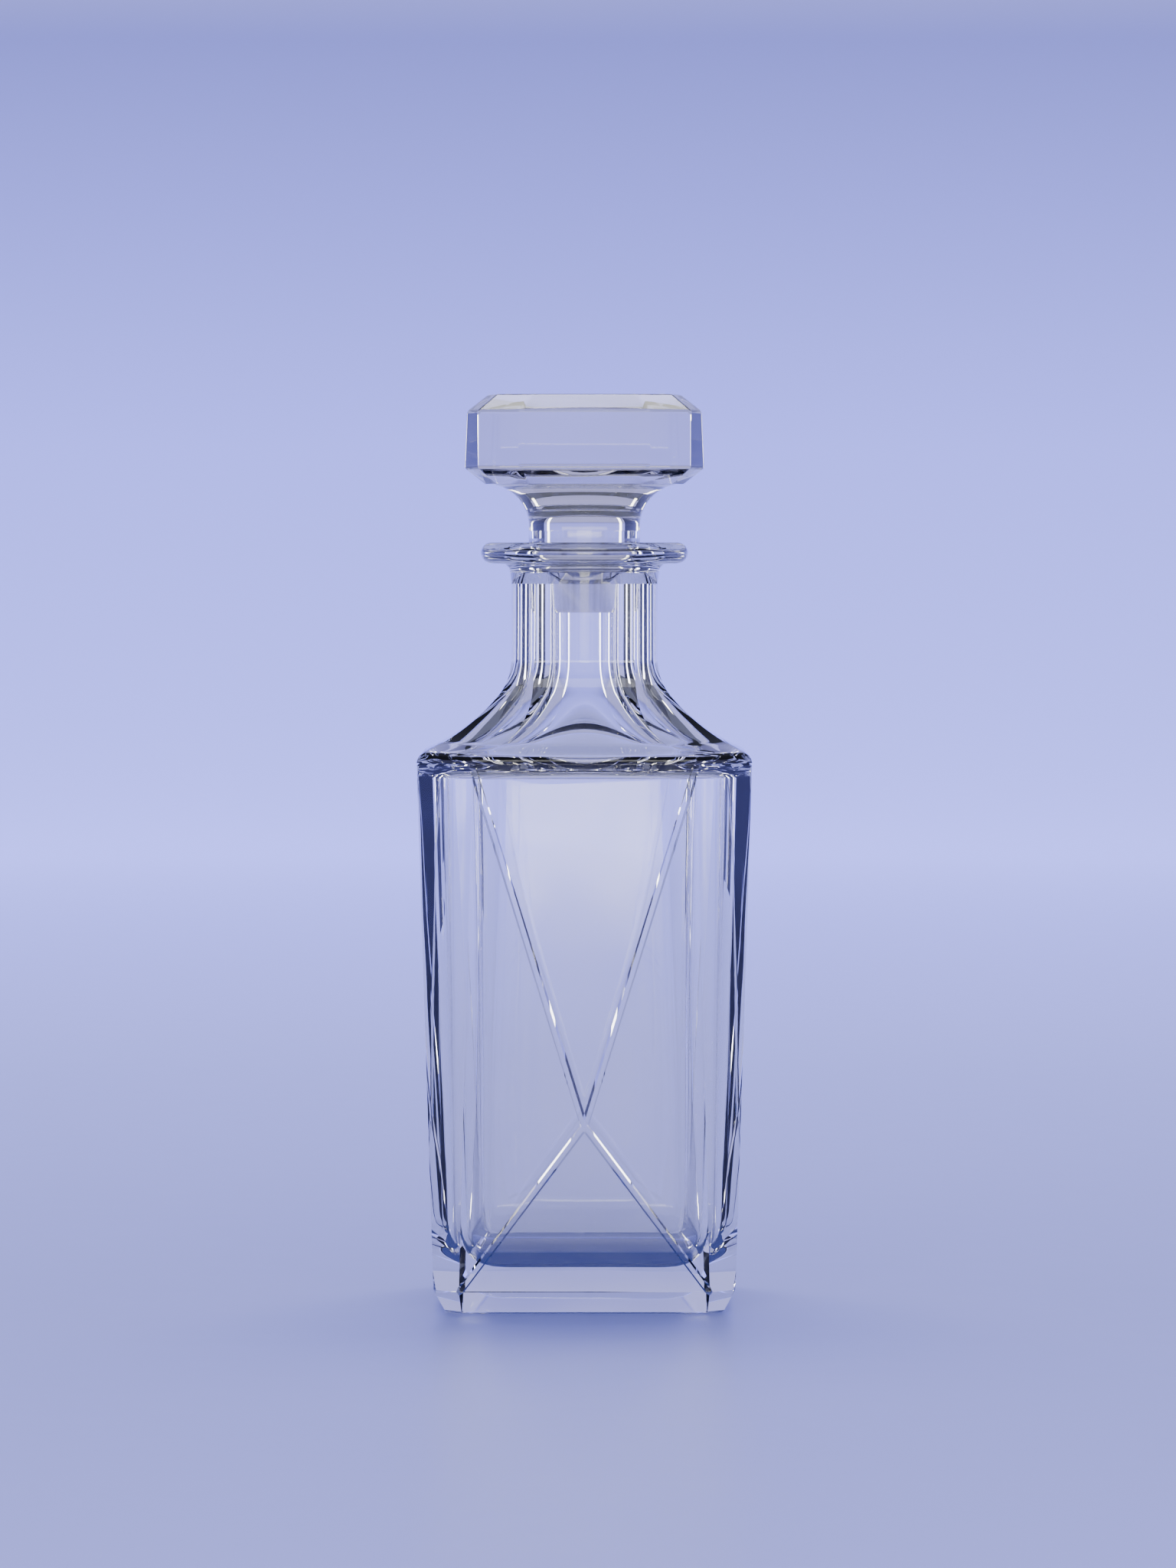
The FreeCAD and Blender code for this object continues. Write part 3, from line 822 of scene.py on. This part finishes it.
class DECANTER_OT_stopper(bpy.types.Operator):
    """Build the faceted glass stopper"""

    bl_idname = "decanter.stopper"
    bl_label = "Stopper"

    def execute(self, context):
        sizes = context.scene.decanter_stopper
        glass = context.scene.decanter_glass
        lip_top = context.scene.decanter_bottle.lip_top
        bm = bmesh.new()
        crown = head_outline(sizes, sizes.crown_scale, -sizes.draft)
        ring = first_ring(bm, [(x, y, sizes.top) for x, y in crown])
        bmesh.ops.contextual_create(bm, geom=ring)
        ring = next_ring(bm, ring, head_mover(sizes, 1.0, -sizes.draft), sizes.high)
        ring = next_ring(bm, ring, head_mover(sizes, 1.0, 0.0), sizes.low)
        ring = next_ring(bm, ring, head_mover(sizes, sizes.under_scale, 0.0), sizes.under)
        ring = cut_ring(bm, ring, 7)
        start = sizes.waist + sizes.waist_spread
        ring = next_ring(bm, ring, circle(start), sizes.under)
        for height in steps(sizes.under, sizes.waist_height, 16):
            radius = on_arc(height, (sizes.waist, sizes.waist_height), (start, sizes.under),
                            sizes.waist_flare, True)
            ring = next_ring(bm, ring, circle(radius), height)
        seat = lip_top + sizes.flange_height + sizes.seat_gap
        ring = next_ring(bm, ring, circle(sizes.waist), seat)
        peg = sizes.sleeve_top - sizes.sleeve_wall - sizes.running_gap
        drop = (sizes.sleeve_top - sizes.sleeve_low) / (lip_top - sizes.sleeve_end)
        ring = next_ring(bm, ring, circle(peg), seat)
        ring = next_ring(bm, ring, circle(peg), lip_top)
        ring = next_ring(bm, ring, circle(peg - (lip_top - sizes.peg_end) * drop), sizes.peg_end)
        bmesh.ops.contextual_create(bm, geom=ring)
        bmesh.ops.recalc_face_normals(bm, faces=bm.faces)
        lowest = (sizes.under + 1.0) * MM
        head = {edge for edge in bm.edges if min(vert.co.z for vert in edge.verts) > lowest}
        rounded(bm, {edge for edge in head if edge.calc_face_angle() > math.radians(8.0)}, sizes.edge, 4)
        material = clear_body("stopper_glass", tuple(glass.stopper_tint), glass.ior,
                              wave_size=0.04, wave_depth=0.0002, film=0.05)
        finish(bm, "stopper_glass", "plug", "stopper", material, math.radians(12.0))
        return {"FINISHED"}


class DECANTER_OT_seal(bpy.types.Operator):
    """Build the clear plastic sealing sleeve"""

    bl_idname = "decanter.seal"
    bl_label = "Seal"

    def execute(self, context):
        sizes = context.scene.decanter_stopper
        glass = context.scene.decanter_glass
        lip_top = context.scene.decanter_bottle.lip_top
        drop = (sizes.sleeve_top - sizes.sleeve_low) / (lip_top - sizes.sleeve_end)
        bm = bmesh.new()
        flange = context.scene.decanter_bottle.bore + sizes.flange_reach
        inner = sizes.sleeve_top - sizes.sleeve_wall
        outline = [(sizes.sleeve_low - sizes.sleeve_wall, sizes.sleeve_end),
                   (sizes.sleeve_low, sizes.sleeve_end)]
        for rib in sizes.ribs:
            skin = sizes.sleeve_top - (lip_top - rib) * drop
            outline += [(skin, rib), (sizes.rib_radius, rib + sizes.rib_height / 2.0),
                        (skin, rib + sizes.rib_height)]
        outline += [(sizes.sleeve_top, lip_top), (flange, lip_top),
                    (flange, lip_top + sizes.flange_height), (inner, lip_top + sizes.flange_height),
                    (inner, lip_top)]
        edges = first_ring(bm, [(x, 0.0, z) for x, z in outline])
        bmesh.ops.spin(bm, geom=bm.verts[:] + edges, cent=(0, 0, 0), axis=(0, 0, 1),
                       angle=math.tau, steps=96, use_merge=True)
        bmesh.ops.remove_doubles(bm, verts=bm.verts, dist=0.001 * MM)
        bmesh.ops.recalc_face_normals(bm, faces=bm.faces)
        material = clear_body("seal_plastic", tuple(glass.seal_tint), glass.plastic_ior,
                              wave_size=0.02, wave_depth=0.0001, film=0.3)
        finish(bm, "seal_plastic", "sleeve", "seal", material, math.radians(25.0))
        return {"FINISHED"}


# ---------------------------------------------------------------- stage


def softbox(name, place, size, power, on_floor):
    """A soft lamp that either lights the stage or only shows through the glass."""
    light = bpy.data.lights.new(name, "AREA")
    light.shape = "RECTANGLE"
    light.size, light.size_y = size
    light.energy = power
    lamp = bpy.data.objects.new(name, light)
    lamp.location = place
    lamp.rotation_euler = (LAMP_TARGET - Vector(place)).to_track_quat("-Z", "Y").to_euler()
    lamp.visible_camera = False
    lamp.visible_diffuse = on_floor
    lamp.visible_glossy = on_floor
    lamp.visible_transmission = not on_floor
    bpy.context.scene.collection.objects.link(lamp)
    return lamp


def dark_flags(settings):
    """Tall dark cards that only show through the glass, and give it its dark edges."""
    bm = bmesh.new()
    for middle in settings.flag_angles:
        start = math.radians(90.0) + middle - settings.flag_width / 2.0
        foot = Vector((math.cos(start), math.sin(start), 0.0)) * settings.flag_distance
        ends = [bm.verts.new(foot + Vector((0.0, 0.0, height)))
                for height in (FLAG_FOOT, settings.flag_height)]
        edge = bm.edges.new(ends)
        bmesh.ops.spin(bm, geom=ends + [edge], cent=(0, 0, 0), axis=(0, 0, 1),
                       angle=settings.flag_width, steps=8)
    mesh = bpy.data.meshes.new("dark_flags")
    bm.to_mesh(mesh)
    bm.free()
    material, board = shade("flag_cloth")
    weave = board.node("ShaderNodeTexNoise", output="Fac", Vector=board.place(), Scale=40.0)
    cloth = board.node("ShaderNodeBsdfPrincipled", Base_Color=(0.01, 0.011, 0.02),
                       Roughness=0.8 + weave * 0.2)
    board.node("ShaderNodeOutputMaterial", Surface=cloth)
    mesh.materials.append(material)
    flags = bpy.data.objects.new("dark_flags", mesh)
    flags.visible_camera = False
    flags.visible_diffuse = False
    flags.visible_glossy = False
    flags.visible_shadow = False
    bpy.context.scene.collection.objects.link(flags)
    return flags


def sweep(settings):
    """A round floor that curves up into a wall all the way round."""
    bm = bmesh.new()
    curve = settings.sweep_height * CURVE_SHARE
    flat = settings.sweep_radius - curve
    outline = [(0.0, 0.0), (flat * 0.5, 0.0), (flat, 0.0)]
    outline += [(flat + curve * math.sin(turn), curve * (1.0 - math.cos(turn)))
                for turn in steps(0.0, math.radians(90.0), 24)]
    outline.append((settings.sweep_radius, settings.sweep_height))
    verts = [bm.verts.new((x, 0.0, z)) for x, z in outline]
    edges = [bm.edges.new(pair) for pair in zip(verts, verts[1:])]
    bmesh.ops.spin(bm, geom=verts + edges, cent=(0, 0, 0), axis=(0, 0, 1), angle=math.tau, steps=96,
                   use_merge=True)
    bmesh.ops.remove_doubles(bm, verts=bm.verts, dist=0.0001)
    bmesh.ops.recalc_face_normals(bm, faces=bm.faces)
    for face in bm.faces:
        face.smooth = True
    mesh = bpy.data.meshes.new("sweep")
    bm.to_mesh(mesh)
    bm.free()
    mesh.materials.append(backdrop_paint_and_glow(settings))
    floor = bpy.data.objects.new("sweep", mesh)
    bpy.context.scene.collection.objects.link(floor)
    return floor


def front_card(settings):
    """A lit card behind the camera that fades towards its ends, for a soft sheen on the flat sides."""
    bm = bmesh.new()
    turn = Matrix.Rotation(math.radians(90.0), 4, "X")
    bmesh.ops.create_grid(bm, x_segments=1, y_segments=1, size=0.5, matrix=turn)
    bmesh.ops.scale(bm, vec=(settings.card_width, 1.0, settings.card_height), verts=bm.verts)
    lift = Vector((0.0, -settings.card_distance, settings.card_height / 2.0 + CARD_FOOT))
    bmesh.ops.translate(bm, vec=lift, verts=bm.verts)
    mesh = bpy.data.meshes.new("front_card")
    bm.to_mesh(mesh)
    bm.free()
    material, board = shade("card_cloth")
    height = board.axes(board.place())[2]
    fade = board.node("ShaderNodeValToRGB", Fac=(height / settings.card_height).clamped(),
                      settings={"stops": [(place, (light,) * 3) for place, light in CARD_STOPS]})
    cloth = board.node("ShaderNodeBsdfPrincipled", Base_Color=(0.02, 0.02, 0.02), Roughness=0.9,
                       Emission_Color=fade, Emission_Strength=settings.card_strength, Alpha=fade)
    board.node("ShaderNodeOutputMaterial", Surface=cloth)
    mesh.materials.append(material)
    card = bpy.data.objects.new("front_card", mesh)
    card.visible_camera = False
    bpy.context.scene.collection.objects.link(card)
    return card


class DECANTER_OT_stage(bpy.types.Operator):
    """Set up the floor, the lights and the camera"""

    bl_idname = "decanter.stage"
    bl_label = "Stage"

    def execute(self, context):
        settings = context.scene.decanter_stage
        sweep(settings)
        dark_flags(settings)
        front_card(settings)
        for lamp in LAMPS:
            softbox(*lamp)
        world = bpy.data.worlds.new("studio")
        world.use_nodes = True
        board = Board(world.node_tree)
        sky = board.node("ShaderNodeBackground", Color=SKY, Strength=1.0)
        board.node("ShaderNodeOutputWorld", Surface=sky)
        context.scene.world = world
        self.camera(context.scene, settings)
        return {"FINISHED"}

    def camera(self, scene, settings):
        """Puts the camera at eye level with the stopper, looking slightly down."""
        lens = bpy.data.cameras.new("camera")
        lens.sensor_fit = "VERTICAL"
        lens.sensor_height = SENSOR_HEIGHT
        lens.lens = SENSOR_HEIGHT * settings.camera_distance / settings.frame_height
        lens.clip_end = VIEW_END
        camera = bpy.data.objects.new("camera", lens)
        camera.location = (settings.camera_side, -settings.camera_distance, settings.camera_height)
        target = Vector((settings.camera_side, 0.0, settings.camera_height - settings.look_down))
        camera.rotation_euler = (target - camera.location).to_track_quat("-Z", "Y").to_euler()
        scene.collection.objects.link(camera)
        scene.camera = camera


class DECANTER_PT_sidebar(bpy.types.Panel):
    """Lists the decanter's pieces and its stage"""

    bl_label = "Decanter"
    bl_idname = "DECANTER_PT_sidebar"
    bl_space_type = "VIEW_3D"
    bl_region_type = "UI"
    bl_category = "Decanter"

    def draw(self, context):
        for operator in OPERATORS:
            self.layout.operator(operator.bl_idname)
        for group in SETTINGS:
            values = getattr(context.scene, group)
            for name in values.__annotations__:
                self.layout.prop(values, name)


SETTINGS = {
    "decanter_bottle": BottleSettings,
    "decanter_stopper": StopperSettings,
    "decanter_glass": GlassSettings,
    "decanter_stage": StageSettings,
}
OPERATORS = (DECANTER_OT_bottle, DECANTER_OT_seal, DECANTER_OT_stopper, DECANTER_OT_stage)


def register():
    for name, group in SETTINGS.items():
        bpy.utils.register_class(group)
        setattr(bpy.types.Scene, name, bpy.props.PointerProperty(type=group))
    for operator in OPERATORS:
        bpy.utils.register_class(operator)
    bpy.utils.register_class(DECANTER_PT_sidebar)


def unregister():
    bpy.utils.unregister_class(DECANTER_PT_sidebar)
    for operator in reversed(OPERATORS):
        bpy.utils.unregister_class(operator)
    for name, group in SETTINGS.items():
        delattr(bpy.types.Scene, name)
        bpy.utils.unregister_class(group)


def main():
    register()
    bpy.ops.decanter.bottle()
    bpy.ops.decanter.seal()
    bpy.ops.decanter.stopper()
    bpy.ops.decanter.stage()


if __name__ == "__main__":
    main()
